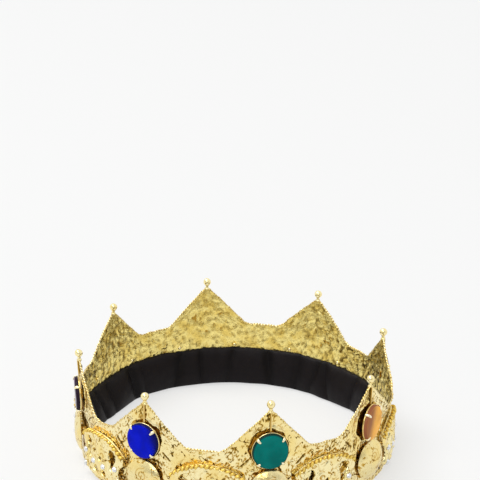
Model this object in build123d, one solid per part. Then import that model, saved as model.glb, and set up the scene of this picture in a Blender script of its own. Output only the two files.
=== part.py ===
from build123d import *
import os
from math import asin, copysign, cos, radians, sin, tan

# A gilt costume crown: a thin metal band cut into peaks, a ball finial on each peak, round glass gems
# in claw settings, domed medallions, openwork ornaments with small stones, and a gathered head pad.
# Millimetres, +Z up, base on the XY plane, peak 1 at the front (-Y), numbered anticlockwise from above.

# The ring
peak_count = 8
band_radius = 95.5
band_wall = 1.0
valley_height = 41.5
apex_height = 65.0
valley_width = 22.5
valley_round = 9.0
tip_width = 2.6
tip_height = 2.2
tip_round = 3.0

# Ball finial on each peak, with a flat rod down the peak's face
ball_radius = 2.4
neck_height = 2.1
neck_radius = 1.0
collar_radius = 1.5
collar_height = 1.4
rod_width = 1.7
rod_depth = 1.0

# Round gem, flat on top with a stepped slope round the edge, above the medallion by a gap
gem_radius = 10.75
gem_gap = 1.25
gem_girdle = 2.0
gem_rise = 1.0

# Claw setting that carries the gem clear of the band
setting_standoff = 0.5
tray_thickness = 0.7
tray_lip = 0.15
claw_count = 4
claw_width = 1.6
claw_thickness = 0.5
claw_reach = 0.8
setting_post_radius = 3.4

# Domed medallion below each gem
medallion_radius = 12.4
medallion_height = 17.0
medallion_standoff = 1.6
medallion_rise = 3.8
medallion_post_radius = 3.4

# Openwork ornament below each valley, bent to the band's curve, a gap away from the medallions
ornament_standoff = 2.0
ornament_thickness = 1.4
ornament_top = 33.4
ornament_base = 4.5
ornament_gap = 3.7
ornament_post_radius = 1.6
arch_drop = 8.4
arch_border_width = 2.4
arch_border_rise = 0.8
arch_flats = 6
panels_per_peak = 5

# Small stones on the ornaments
stone_radius = 1.7
stone_height = 1.2

# Gathered head pad inside the band
pad_height = 25.0
pad_lift = 0.4
pad_thickness = 4.2
pad_edge_thickness = 2.4
gather_count = 24
gather_depth = 1.0

# Fits and overruns
clearance = 0.1
pad_clearance = 0.3
overrun = 5.0

# Small round pieces have flat sides, this many round
gem_sides = 20
bead_sides = 8
stone_sides = 6
post_sides = 4

# Shares of the sizes above: pairs are across and up
ball_angle_shares = (0.27, 0.5, 0.7, 0.88)
gem_step_shares = ((0.92, 0.6), (0.6, 1.0))
medallion_step_shares = ((0.88, 0.6), (0.46, 1.0))
stone_table_share = 0.55
pad_waist_share = 0.5
gather_crest_shares = (0.3, 0.7)
ornament_side_shares = ((1.0, 0.55), (0.82, 0.38), (0.8, 0.26), (0.93, 0.13), (0.8, 0.0))
keyhole_shares = ((0.38, 0.66), (0.52, 0.78), (0.72, 0.7), (0.72, 0.6), (0.58, 0.34), (0.48, 0.34))
lower_opening_shares = ((0.06, 0.1), (0.2, 0.25), (0.34, 0.1))
diamond_shares = ((0.0, 0.53), (0.08, 0.45), (0.0, 0.37), (-0.08, 0.45))
leaf_shares = ((0.0, 0.58), (0.14, 0.74), (0.0, 0.9), (-0.14, 0.74))
ornament_post_shares = ((0.88, 0.55), (-0.88, 0.55), (0.0, 0.06))
stone_place_shares = ((0.24, 0.33), (-0.24, 0.33), (0.73, 0.42), (-0.73, 0.42), (0.77, 0.09), (-0.77, 0.09))

peak_step = 360 / peak_count
on_base = (Align.CENTER, Align.CENTER, Align.MIN)

# Sizes that follow from the ones above
gem_back_radius = band_radius + setting_standoff + tray_thickness
tray_radius = (gem_radius + clearance + claw_thickness + tray_lip) / cos(radians(180 / gem_sides))
gem_height = medallion_height + medallion_radius + gem_gap + tray_radius
medallion_edge = ((band_radius + medallion_standoff) * sin(radians(peak_step / 2))
                  - medallion_radius * cos(radians(peak_step / 2)))
ornament_half_width = medallion_edge - ornament_gap
arch_radius = (ornament_half_width**2 + arch_drop**2) / (2 * arch_drop)


def facing(height, radius):
    """The upright plane at the front of the ring, facing outward, at a height and a radius."""
    return Plane(origin=(0, -radius, height), x_dir=(1, 0, 0), z_dir=(0, -1, 0))


def round_the_ring(piece, index, offset=0.0):
    """A piece made at the front, turned to its place on the ring."""
    return Rot(0, 0, (index + offset) * peak_step) * piece


def stacked(rings):
    """A solid with flat faces through similar rings of points, closed by the first and the last."""
    count = len(rings[0])
    faces = [Face(Wire.make_polygon(ring)) for ring in (rings[0], rings[-1])]
    for lower, upper in zip(rings, rings[1:]):
        for i in range(count):
            j = (i + 1) % count
            faces.append(Face(Wire.make_polygon([lower[i], lower[j], upper[j], upper[i]])))
    return Solid(Shell(faces))


def turned(stations, sides):
    """A round form with flat sides on the XY plane, through pairs of height and radius."""
    turns = [radians(360 * i / sides) for i in range(sides)]
    return stacked([[Vector(r * cos(t), r * sin(t), h) for t in turns] for h, r in stations])


def clear_of_band(piece):
    """The piece without what reaches inside the band's outer face."""
    return piece - Cylinder(band_radius, apex_height + overrun, align=on_base)


def post(radius, height, length):
    """A short post at the front that stands on the band's outer face."""
    root = facing(height, band_radius - overrun)
    return clear_of_band(extrude(root * RegularPolygon(radius, post_sides), amount=length + overrun))


def valley_outline():
    """The opening between two peaks: flat floor, straight slopes and a narrow tongue on each side."""
    half_pitch = band_radius * sin(radians(peak_step / 2))
    floor_end = valley_width / 2
    tongue_side = half_pitch - tip_width / 2
    tongue_foot = apex_height - tip_height
    top = apex_height + overrun
    outline = make_face(Polyline(
        (-floor_end, valley_height), (floor_end, valley_height),
        (tongue_side, tongue_foot), (tongue_side, top),
        (-tongue_side, top), (-tongue_side, tongue_foot), close=True))
    outline = fillet(outline.vertices().group_by(Axis.Y)[0], valley_round)
    tongue_corners = [v for v in outline.vertices() if abs(v.Y - tongue_foot) < clearance]
    return fillet(tongue_corners, tip_round)


def crown_band():
    """The band: a thin cylinder with its top cut into peaks."""
    wall = Cylinder(band_radius, apex_height, align=on_base)
    wall -= Cylinder(band_radius - band_wall, apex_height, align=on_base)
    opening = extrude(facing(0, 0) * valley_outline(), amount=band_radius + overrun)
    for index in range(peak_count):
        wall -= round_the_ring(opening, index, offset=0.5)
    return wall


def finial():
    """Ball, neck and tapered collar on the peak's tip, with the rod that runs down to the setting's tray."""
    centre = neck_height + ball_radius
    collar = [(0, collar_radius), (collar_height, neck_radius)]
    ball = [(centre - ball_radius * cos(radians(180 * share)), ball_radius * sin(radians(180 * share)))
            for share in ball_angle_shares]
    bead = Pos(0, band_wall / 2 - band_radius, apex_height) * turned(collar + ball, bead_sides)
    rod_foot = gem_height + tray_radius + clearance
    rod = Pos(0, -band_radius - rod_depth, rod_foot) * Box(
        rod_width, rod_depth + overrun, apex_height + collar_height / 2 - rod_foot,
        align=(Align.CENTER, Align.MIN, Align.MIN))
    return bead + clear_of_band(rod)


def gem():
    """A round gem with a straight girdle and a stepped slope up to its flat top."""
    steps = [(gem_girdle + gem_rise * up, gem_radius * across) for across, up in gem_step_shares]
    stone = turned([(0, gem_radius), (gem_girdle, gem_radius)] + steps, gem_sides)
    return facing(gem_height, gem_back_radius) * stone


def claw():
    """One claw: up the gem's side and over its edge, drawn outward from the gem's axis."""
    inner = gem_radius + clearance
    outer = inner + claw_thickness
    across, up = gem_step_shares[0]
    slope = gem_rise * up / (gem_radius - gem_radius * across)
    tip = gem_radius - claw_reach
    lift = gem_girdle + clearance
    tip_lift = lift + claw_reach * slope
    side = make_face(Polyline(
        (inner, 0), (outer, 0), (outer, lift + claw_thickness),
        (tip, tip_lift + claw_thickness), (tip, tip_lift), (inner, lift), close=True))
    return extrude(Plane.XZ * side, amount=claw_width / 2, both=True)


def gem_setting():
    """The tray behind a gem, its claws and the post that holds it off the band."""
    tray = turned([(-tray_thickness, tray_radius), (0, tray_radius)], gem_sides)
    for index in range(claw_count):
        tray += Rot(0, 0, (index + 0.5) * 360 / claw_count) * claw()
    held = facing(gem_height, gem_back_radius) * tray
    return held + post(setting_post_radius, gem_height, setting_standoff)


def medallion():
    """A domed round plate on a post."""
    steps = [(medallion_rise * up, medallion_radius * across) for across, up in medallion_step_shares]
    dome = turned([(0, medallion_radius)] + steps, gem_sides)
    dome = facing(medallion_height, band_radius + medallion_standoff) * dome
    return dome + post(medallion_post_radius, medallion_height, medallion_standoff)


def ornament_point(share, side=1):
    """A place on the ornament's face from its shares, on the right or mirrored to the left."""
    across, up = share
    return side * across * ornament_half_width, ornament_base + up * (ornament_top - ornament_base)


def ornament_arch(radius):
    """Points along the arch's outer edge, or along an inner line, from the right end to the left."""
    centre = ornament_top - arch_radius
    half_turn = asin(ornament_half_width / arch_radius)
    turns = [half_turn * (1 - 2 * i / arch_flats) for i in range(arch_flats + 1)]
    return [(radius * sin(turn), centre + radius * cos(turn)) for turn in turns]


def bent_ring(flat_radius):
    """A many-sided prism round the ring's axis, with one flat square to each ornament."""
    sides = peak_count * panels_per_peak
    outline = RegularPolygon(flat_radius, sides, major_radius=False, rotation=90 + 180 / sides)
    return extrude(outline, amount=ornament_top)


def ornament_layer(sketch, inner_radius, thickness):
    """A flat outline carried outward and kept to a wall of flat panels that follows the band's curve."""
    wall = bent_ring(inner_radius + thickness) - bent_ring(inner_radius)
    return extrude(facing(0, 0) * sketch, amount=inner_radius + overrun) & wall


def on_panel(piece, x, flat_radius):
    """A piece made square to the front, moved across to the flat panel that crosses x, and square to that."""
    panel_turn = 360 / peak_count / panels_per_peak
    half_panel = flat_radius * tan(radians(panel_turn / 2))
    if abs(x) < half_panel:
        return Pos(x, 0, 0) * piece
    side = copysign(1, x)
    along = (abs(x) - half_panel) / cos(radians(panel_turn)) + half_panel
    return Rot(0, 0, side * panel_turn) * Pos(side * (along - 2 * half_panel), 0, 0) * piece


def ornament():
    """An arched openwork plate with a raised arch border and leaf, on posts."""
    arch = ornament_arch(arch_radius)
    left = [ornament_point(share, -1) for share in ornament_side_shares]
    right = [ornament_point(share) for share in reversed(ornament_side_shares)]
    plate = make_face(Polyline(*arch, *left, *right, close=True))
    for side in (1, -1):
        for opening in (keyhole_shares, lower_opening_shares):
            plate -= make_face(Polyline(*[ornament_point(share, side) for share in opening], close=True))
    plate -= make_face(Polyline(*[ornament_point(share) for share in diamond_shares], close=True))
    inner_arch = ornament_arch(arch_radius - arch_border_width)
    border = make_face(Polyline(*arch, *reversed(inner_arch), close=True))
    leaf = make_face(Polyline(*[ornament_point(share) for share in leaf_shares], close=True))
    back = band_radius + ornament_standoff
    body = ornament_layer(plate, back, ornament_thickness)
    for raised in (border, leaf):
        body += ornament_layer(raised, back, ornament_thickness + arch_border_rise)
    for share in ornament_post_shares:
        x, height = ornament_point(share)
        foot = post(ornament_post_radius, height, ornament_standoff + ornament_thickness / 2)
        body += on_panel(foot, x, back)
    return body


def stones():
    """The small cut stones on one ornament, each flat on the plate's face."""
    face_radius = band_radius + ornament_standoff + ornament_thickness
    stone = turned([(0, stone_radius), (stone_height, stone_radius * stone_table_share)], stone_sides)
    placed = []
    for share in stone_place_shares:
        x, height = ornament_point(share)
        placed.append(on_panel(facing(height, face_radius) * stone, x, face_radius))
    return Compound(children=placed)


def head_pad():
    """A padded ring with shallow gathers, thickest at its middle height."""
    outer = band_radius - band_wall - pad_clearance
    crest = outer - pad_thickness
    edge = outer - pad_edge_thickness
    step = 360 / gather_count
    outline = []
    for index in range(gather_count):
        outline.append(Vector(crest + gather_depth, 0).rotate(Axis.Z, index * step))
        outline += [Vector(crest, 0).rotate(Axis.Z, (index + share) * step) for share in gather_crest_shares]
    levels = ((0, edge), (pad_waist_share, crest), (1, edge))
    rings = [[point * (radius / crest) + Vector(0, 0, pad_lift + up * pad_height) for point in outline]
             for up, radius in levels]
    return Pos(0, 0, pad_lift) * Cylinder(outer, pad_height, align=on_base) - stacked(rings)


os.makedirs("parts", exist_ok=True)
export_step(crown_band(), "parts/crown_band.step")
export_step(head_pad(), "parts/head_pad.step")
on_peaks = {"finial": finial(), "gem": gem(), "gem_setting": gem_setting(), "medallion": medallion()}
in_valleys = {"ornament": ornament(), "stones": stones()}
for offset, pieces in ((0, on_peaks), (0.5, in_valleys)):
    for name, piece in pieces.items():
        for index in range(peak_count):
            export_step(round_the_ring(piece, index, offset), f"parts/{name}_{index + 1}.step")
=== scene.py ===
"""Dresses the crown's frame: worked gilt metal, glass gems in claws, small stones and a satin head pad."""

import math
import random

import bpy
import numpy as np
from mathutils import Matrix, Vector, noise


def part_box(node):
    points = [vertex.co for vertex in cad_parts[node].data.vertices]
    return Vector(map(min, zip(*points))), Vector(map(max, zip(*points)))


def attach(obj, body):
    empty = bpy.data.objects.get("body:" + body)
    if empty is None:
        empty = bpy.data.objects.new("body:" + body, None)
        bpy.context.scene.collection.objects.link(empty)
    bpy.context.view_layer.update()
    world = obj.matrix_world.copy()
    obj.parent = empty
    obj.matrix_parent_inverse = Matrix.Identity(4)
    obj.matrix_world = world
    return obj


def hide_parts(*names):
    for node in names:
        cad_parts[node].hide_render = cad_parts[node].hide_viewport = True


bl_info = {
    "name": "Gilt costume crown",
    "version": (1, 0, 0),
    "blender": (4, 5, 0),
    "location": "3D View > Sidebar > Crown",
    "description": "Makes the worked metal, gems, stones and head pad of a gilt costume crown",
    "category": "Object",
}

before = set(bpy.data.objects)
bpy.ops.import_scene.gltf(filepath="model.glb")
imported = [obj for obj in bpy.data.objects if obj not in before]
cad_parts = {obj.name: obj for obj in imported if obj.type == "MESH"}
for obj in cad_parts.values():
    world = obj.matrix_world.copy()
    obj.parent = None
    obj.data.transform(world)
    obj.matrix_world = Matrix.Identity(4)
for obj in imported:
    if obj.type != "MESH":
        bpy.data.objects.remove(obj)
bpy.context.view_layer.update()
MM = 0.001
PEAKS = 8
PEAK_STEP = 360 / PEAKS
GEM_COLOURS = ("green", "amber", "purple", "blue")

# Features a metre of the scratches, and a tiny number that keeps a division from failing
SCRATCH_SCALE = 330
TINY = 1e-18

# How the crown was bent by hand, peak by peak or valley by valley, from the front round by the right.
# Distances are in millimetres and angles in degrees.
TIP_OUT = (0.0, 0.2, -1.4, 1.3, 0.0, -1.7, 1.9, 0.4)
TIP_UP = (1.7, 0.7, 0.1, -0.5, 1.7, 0.3, -0.5, 0.6)
SETTLED = (0.0, 0.4, 0.0, 0.0, 0.0, 0.0, 0.0, 1.2)
ASIDE = (1.1, 0.0, 0.0, 0.0, 0.0, 0.0, 0.0, 0.0)
FLATTENED = (0.3, 0.4, 3.0, 0.3, 0.3, 1.2, 0.2, 0.3)
FOOT_IN = (0.0, 0.0, 0.0, 0.0, 0.0, 0.0, 1.3, 0.0)
RIM_OUT = (0.0, 3.6, 0.0, 0.0, 0.0, 0.0, 0.0, 0.0)
GEM_TWIST = (0.0, 6.0, -9.0, 0.0, 0.0, 0.0, -4.0, 0.0)
MEDALLION_TWIST = (0.0, -4.0, 0.0, 0.0, 0.0, 0.0, -5.0, 0.0)
ORNAMENT_SHIFT = (-0.6, 0.0, 0.0, 0.0, 0.0, 0.0, 1.0, 1.2)

# Heights at which the bends act, in millimetres: a start and a run for those that grow upward, and a middle
# and a spread for the others
TIP_START, TIP_RUN = 41.5, 28
SETTLED_RUN = 30
FLATTENED_AT, FOOT_AT, RIM_AT = (40, 20), (12, 14), (48, 9)

# One corner of the rim that dips: its turn and spread in degrees, and its depth, start and run in millimetres
DIP_TURN, DIP_WIDTH = -69.0, 6.0
DIP_DEPTH, DIP_START, DIP_RUN = 3.0, 30, 11

# Places on an ornament's face, as shares across from its middle to its end and up from its foot to its top.
# A post's place has its side after it.
STONE_PLACES = ((0.24, 0.33), (0.73, 0.42), (0.77, 0.09))
POST_PLACES = (((0.88, 0.55), 1), ((0.88, 0.55), -1), ((0.0, 0.06), 1))
LEAF_PLACE = (0.0, 0.74)
PLATE_SIDE = ((1.0, 0.55), (0.84, 0.44), (0.79, 0.33), (0.82, 0.22), (0.93, 0.12), (0.82, 0.0))
KEYHOLE = ((0.38, 0.66), (0.46, 0.78), (0.66, 0.76), (0.75, 0.63), (0.63, 0.52), (0.59, 0.32), (0.47, 0.32),
           (0.47, 0.54))
DROP_HOLE = ((0.06, 0.1), (0.2, 0.26), (0.34, 0.1))
DIAMOND = ((0.0, 0.54), (0.09, 0.45), (0.0, 0.36), (-0.09, 0.45))

# Curls on one half of an ornament: the centre across and up in millimetres, the start and the sweep in
# degrees, and the first and last radius in millimetres
CURLS = ((12.4, 27.6, -150, 330, 6.3, 4.7), (4.3, 20.6, 200, -400, 3.6, 0.9),
         (17.2, 12.2, 100, -470, 3.9, 0.8), (9.0, 8.0, 160, 330, 3.2, 0.7))

# Grooves beside a gem, each from one end to the other, across from the peak's middle and up, in millimetres
GROOVES = (((-16.8, 32.2), (-12.2, 36.6)), ((17.2, 32.0), (22.3, 36.8)))
GROOVE_HALF_WIDTH = 0.6

# Layers of creases in the band's outer face: the depth, the features a metre, the width and the noise's shift
OUTER_CREASES = ((1.0, 290, 0.13, 0.0), (0.95, 430, 0.18, 3.1), (0.8, 640, 0.20, 8.4))

# The collar under a ball, as radius and height above the peak, in millimetres
COLLAR = ((0, -0.4), (1.35, -0.4), (1.5, 0.1), (1.35, 0.5), (1.0, 0.9), (0.9, 1.5), (1.1, 2.0))

# The rod's section, as shares of its half width and of its depth, and how much painted shade it gets there,
# most on its sides
ROD_SECTION = ((-1, 0, 0.9), (-1, 0.6, 0.9), (-0.7, 0.9, 0.6), (0, 1.0, 0.3), (0.7, 0.9, 0.3), (1, 0.6, 0.7),
               (1, 0, 0.9))

# The middle line of a claw, out from the gem's edge and up from its back, in millimetres
CLAW_LINE = ((0.5, -0.3), (0.55, 0.8), (0.5, 1.5), (0.3, 2.2), (-0.2, 2.6), (-0.9, 2.85), (-1.6, 3.0))

# Turn and spread, in radians, of two places where the pad's foot leans in further.
# The leans, all round and at each of the two, are in millimetres.
PAD_LEFT, PAD_RIGHT = (1.29 * math.pi, 0.28), (0.70 * math.pi, 0.15)
PAD_LEAN, PAD_LEFT_LEAN, PAD_RIGHT_LEAN = 3.0, 4.8, 2.0

# Lamps: a name, a place and a size in metres, and a power in watts
LAMPS = (("key", (-1.5, 0.5, 3.6), 2.4, 70.0), ("fill", (-0.9, -2.4, 2.0), 1.5, 18.0))

# The dim side of the room, where the camera stands, in degrees round from the front and up
LENS_TURN, LENS_RISE = -11.9, 26

# The photograph's camera: its distance in metres, its height, roll and turn in degrees, its focal length and
# the picture's side in pixels, and the pixel where the middle of the ring's foot lies
CAMERA_DISTANCE = 1.357
CAMERA_ANGLES = (26.22, 1.02, -11.88)
FOCAL_PIXELS, PICTURE_PIXELS = 2168.0, 480.0
CENTRE_PIXEL = (237.9, 444.3)


def middle(node, axis):
    """The middle of a node's box along an axis."""
    low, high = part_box(node)
    return (low[axis] + high[axis]) / 2


def breadth(node, axis):
    """The size of a node's box along an axis."""
    low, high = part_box(node)
    return high[axis] - low[axis]


def front_face(node):
    """Distance from the ring's axis to the outermost face of a node at the front."""
    return -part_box(node)[0].y


def back_face(node):
    """Distance from the ring's axis to the innermost face of a node at the front."""
    return -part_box(node)[1].y


# Sizes and colours that a user would change


def length(name, description, default):
    """A length in metres."""
    return bpy.props.FloatProperty(name=name, description=description, default=default, min=0, unit="LENGTH")


def colour(name, description, default):
    """A linear colour."""
    return bpy.props.FloatVectorProperty(name=name, description=description, default=default, size=3,
                                         min=0, max=1, subtype="COLOR")


class CrownSizes(bpy.types.PropertyGroup):
    """Sizes of the crown's pieces."""

    band_radius: length("Band radius", "Outside of the band", breadth("crown_band", 0) / 2)
    band_wall: length("Band wall", "Thickness of the band", 1.0 * MM)
    apex_height: length("Apex height", "Height of the peaks", breadth("crown_band", 2))
    valley_height: length("Valley height", "Height of the band between the peaks", 41.5 * MM)
    valley_width: length("Valley width", "Flat stretch between two peaks", 22.5 * MM)
    valley_round: length("Valley rounding", "Radius where the flat meets a slope", 9.0 * MM)
    tip_width: length("Tip width", "Width of the tongue under a ball", 1.8 * MM)
    tip_height: length("Tip height", "Height of the tongue under a ball", 0.3 * MM)
    tip_round: length("Tip rounding", "Radius where a slope meets the tongue", 1.5 * MM)
    tip_rise: length("Tip rise", "How far a tip runs up round its ball's collar", 0.6 * MM)
    crease_depth: length("Crease depth", "Depth of the creases in the worked metal", 0.6 * MM)
    rim_radius: length("Rim cord radius", "Radius of the corded edge along the rim", 0.5 * MM)
    ball_radius: length("Ball radius", "Radius of a finial's ball", breadth("finial_1", 0) / 2)
    rod_width: length("Rod width", "Width of the rod below a ball", 1.45 * MM)
    rod_depth: length("Rod depth", "How far the rod stands off the band", 1.0 * MM)
    gem_radius: length("Gem radius", "Radius of a gem", breadth("gem_1", 0) / 2)
    gem_height: length("Gem height", "Height of a gem's centre", middle("gem_1", 2))
    gem_girdle: length("Gem girdle", "Straight side of a gem", 2.0 * MM)
    claw_width: length("Claw width", "Width of a claw", 1.9 * MM)
    medallion_radius: length("Medallion radius", "Radius of a medallion", breadth("medallion_1", 0) / 2)
    medallion_height: length("Medallion height", "Height of a medallion's centre",
                             middle("medallion_1", 2) + MM)
    medallion_standoff: length("Medallion standoff", "Gap between a medallion's edge and the band", 1.6 * MM)
    ornament_half_width: length("Ornament half width", "From an ornament's middle to its end", 22.0 * MM)
    ornament_top: length("Ornament top", "Height of an ornament's arch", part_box("ornament_1")[1].z)
    ornament_base: length("Ornament base", "Height of an ornament's foot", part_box("ornament_1")[0].z)
    ornament_standoff: length("Ornament standoff", "Gap between an ornament and the band", 2.0 * MM)
    ornament_thickness: length("Ornament thickness", "Thickness of an ornament's plate", 1.4 * MM)
    arch_drop: length("Arch drop", "How far an ornament's ends lie below its top", 8.4 * MM)
    stone_radius: length("Stone radius", "Radius of a small stone", 1.9 * MM)
    stone_height: length("Stone height", "Height of a small stone", 1.2 * MM)
    pad_radius: length("Pad radius", "Outside of the head pad", breadth("head_pad", 0) / 2)
    pad_thickness: length("Pad thickness", "Thickness of the head pad at its fullest", 4.2 * MM)
    tack_radius: length("Tack radius", "Radius of a tack's head", 1.25 * MM)


class CrownFinish(bpy.types.PropertyGroup):
    """Colours of the crown's materials."""

    gilt: colour("Gilt", "Bright gilt metal", (0.98, 0.86, 0.48))
    gilt_deep: colour("Deep gilt", "Gilt metal in warmer patches", (0.94, 0.75, 0.30))
    # Painted inter-reflection: warm gilt at the sides of creases and pits
    gilt_shade: colour("Shaded gilt", "Warm metal at the sides of creases and pits", (0.60, 0.35, 0.05))
    # Painted shade: dark gilt at the bottoms of creases and pits and in the recess behind each gem
    gilt_painted_shade: colour("Gilt hollows", "Darkened metal in creases and pits", (0.10, 0.058, 0.008))
    gilt_cord: colour("Arch cord", "Warmer gilt of the ornaments' arches", (0.88, 0.64, 0.15))
    medallion: colour("Medallions", "Duller gilt of the medallions", (0.90, 0.77, 0.40))
    claw: colour("Claws", "Paler gilt of the claws", (0.98, 0.90, 0.66))
    lining: colour("Lining", "Inner face of the band", (1.0, 0.83, 0.30))
    lining_deep: colour("Deep lining", "Darker patches of the inner face", (0.90, 0.68, 0.18))
    # Painted shade in the pits and blots of the inner face
    lining_shade: colour("Lining pits", "Dull metal in the pits of the inner face", (0.50, 0.36, 0.09))
    gem_green: colour("Green gem", "Glass of the green gems", (0.0, 0.235, 0.205))
    gem_amber: colour("Amber gem", "Glass of the amber gems", (1.0, 0.50, 0.075))
    gem_amber_shade: colour("Amber gem's shade", "Shaded side of the amber gems", (0.26, 0.095, 0.045))
    gem_purple: colour("Purple gem", "Glass of the purple gems", (0.15, 0.065, 0.17))
    gem_blue: colour("Blue gem", "Glass of the blue gems", (0.001, 0.010, 0.76))
    stone: colour("Stone", "Small clear stones", (0.94, 0.95, 0.97))
    satin: colour("Satin", "Black satin of the head pad", (0.0036, 0.0024, 0.0031))
    floor: colour("Floor", "Pale floor", (0.34, 0.342, 0.34))


# Shader maths


class Signal:
    """One output socket of a finish; arithmetic on it adds Math nodes to that finish."""

    def __init__(self, finish, socket):
        self.finish = finish
        self.socket = socket

    def maths(self, operation, *values):
        """The result of a Math node."""
        return self.finish.node("ShaderNodeMath", {"operation": operation}, dict(enumerate(values)))

    def __add__(self, other):
        return self.maths("ADD", self, other)

    def __radd__(self, other):
        return self.maths("ADD", other, self)

    def __sub__(self, other):
        return self.maths("SUBTRACT", self, other)

    def __rsub__(self, other):
        return self.maths("SUBTRACT", other, self)

    def __mul__(self, other):
        return self.maths("MULTIPLY", self, other)

    def __rmul__(self, other):
        return self.maths("MULTIPLY", other, self)

    def clamp(self):
        """The value held between 0 and 1."""
        return self.finish.node("ShaderNodeClamp", {}, {"Value": self})

    def size(self):
        """The value without its sign."""
        return self.maths("ABSOLUTE", self)

    def step(self, low, high):
        """0 below low, 1 above high and smooth between."""
        return self.finish.node("ShaderNodeMapRange", {"interpolation_type": "SMOOTHSTEP"},
                                {"Value": self, "From Min": low, "From Max": high})


class Finish:
    """The nodes of one material or of the world."""

    def __init__(self, owner):
        owner.use_nodes = True
        self.tree = owner.node_tree
        self.tree.nodes.clear()

    def node(self, kind, settings=None, sockets=None, output=0):
        """Adds a node of a kind, sets its settings, then the values or links of its sockets."""
        made = self.tree.nodes.new(kind)
        for name, value in (settings or {}).items():
            setattr(made, name, value)
        for key, value in (sockets or {}).items():
            if isinstance(value, Signal):
                self.tree.links.new(value.socket, made.inputs[key])
            else:
                made.inputs[key].default_value = value
        return Signal(self, made.outputs[output]) if made.outputs else made

    def blend(self, share, first, second):
        """A colour between two colours."""
        plain = [tuple(c) + (1,) if not isinstance(c, Signal) else c for c in (first, second)]
        return self.node("ShaderNodeMix", {"data_type": "RGBA"}, {0: share, 6: plain[0], 7: plain[1]}, 2)

    def place(self):
        """Where a point lies, in metres."""
        return self.node("ShaderNodeTexCoord", output="Object")

    def grain(self, scale, detail=2.0, roughness=0.5, place=None):
        """Soft noise, its scale in features a metre."""
        return self.node("ShaderNodeTexNoise", {}, {"Vector": place or self.place(), "Scale": scale,
                                                    "Detail": detail, "Roughness": roughness})

    def cells(self, scale):
        """Distance from the nearest cell's centre, their scale in cells a metre."""
        return self.node("ShaderNodeTexVoronoi", {}, {"Vector": self.place(), "Scale": scale})

    def scratches(self, scale):
        """Short winding scratches, 1 along each; their scale in features a metre."""
        aside = self.node("ShaderNodeVectorMath", {"operation": "ADD"}, {0: self.place(), 1: (3.1, 1.7, 0.9)})
        line = (self.grain(scale, 1.0, 0.4) - 0.5).size()
        gate = self.grain(0.8 * scale, 1.0, 0.5, aside)
        return (1 - line.step(0.015, 0.06)) * gate.step(0.55, 0.60)

    def parts(self, vector):
        """The three parts of a vector."""
        return [self.node("ShaderNodeSeparateXYZ", {}, {"Vector": vector}, part) for part in range(3)]

    def attribute(self, name):
        """A value that the mesh holds at its points."""
        return self.node("ShaderNodeAttribute", {"attribute_name": name}, output="Fac")

    def ray(self, kind):
        """1 for rays of a kind, such as Camera or Glossy."""
        return self.node("ShaderNodeLightPath", output=f"Is {kind} Ray")

    def bump(self, height, strength, distance):
        """The normal of a height, its distance in metres."""
        return self.node("ShaderNodeBump", {}, {"Height": height, "Strength": strength, "Distance": distance})

    def surface(self, sockets):
        """Ends the nodes in one surface shader."""
        shader = self.node("ShaderNodeBsdfPrincipled", {}, sockets)
        self.node("ShaderNodeOutputMaterial", {}, {"Surface": shader})


def gilt_finish(name, colours, pale=None, deep=None, rough=0.16, grain=700, relief=0.25, patch=70,
                scratched=0.0):
    """Polished gilt metal: warmer patches, fine wrinkles, and darker, duller hollows with painted shade, a
    warm painted inter-reflection at their sides and dark at their bottoms; its scratches take the same dark
    colours.
    """
    finish = Finish(made := bpy.data.materials.new(name))
    dark = finish.attribute("hollow")
    fine = finish.grain(grain, 3.0, 0.55)
    broad = finish.grain(patch, 2.0, 0.5)
    warm = broad.step(0.38, 0.68)
    tint = finish.blend(warm, pale or colours.gilt, deep or colours.gilt_deep)
    depth = dark * (0.75 + 0.5 * fine) + scratched * finish.scratches(SCRATCH_SCALE)
    # Painted shade: the hollows' depth, with the scratches, turns the colour to the warm painted
    # inter-reflection, then to the dark painted shade
    tint = finish.blend(depth.step(0.0, 0.55), tint, colours.gilt_shade)
    tint = finish.blend(depth.step(0.4, 1.0), tint, colours.gilt_painted_shade)
    finish.surface({
        "Base Color": tint, "Metallic": 1.0,
        "Roughness": (rough + 0.16 * (fine - 0.4) + 0.25 * dark).clamp(),
        "Normal": finish.bump(fine, relief, 0.4 * MM),
    })
    return made


def lining_finish(name, colours):
    """The band's inner face: grainy gilt with cloudy patches, and painted shade in its fine dark pits and in
    the hollows that the mesh marks.
    """
    finish = Finish(made := bpy.data.materials.new(name))
    dark = finish.attribute("hollow")
    pits = 1 - finish.cells(760).step(0.10, 0.36)
    fine = finish.grain(900, 2.0, 0.6)
    cloud = finish.grain(130, 2.0, 0.5).step(0.40, 0.64)
    tint = finish.blend(cloud, colours.lining, colours.lining_deep)
    # Painted shade: the pits and the mesh's marked hollows turn the colour to the lining's painted shade,
    # then to the dark painted shade
    depth = 0.2 * pits * fine + dark
    tint = finish.blend(depth.step(0.0, 0.6), tint, colours.lining_shade)
    tint = finish.blend(depth.step(0.45, 1.1), tint, colours.gilt_painted_shade)
    finish.surface({
        "Base Color": tint, "Metallic": 1.0, "Roughness": (0.16 + 0.3 * fine).clamp(),
        "Normal": finish.bump(fine - 0.6 * pits, 0.35, 0.5 * MM),
    })
    return made


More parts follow.
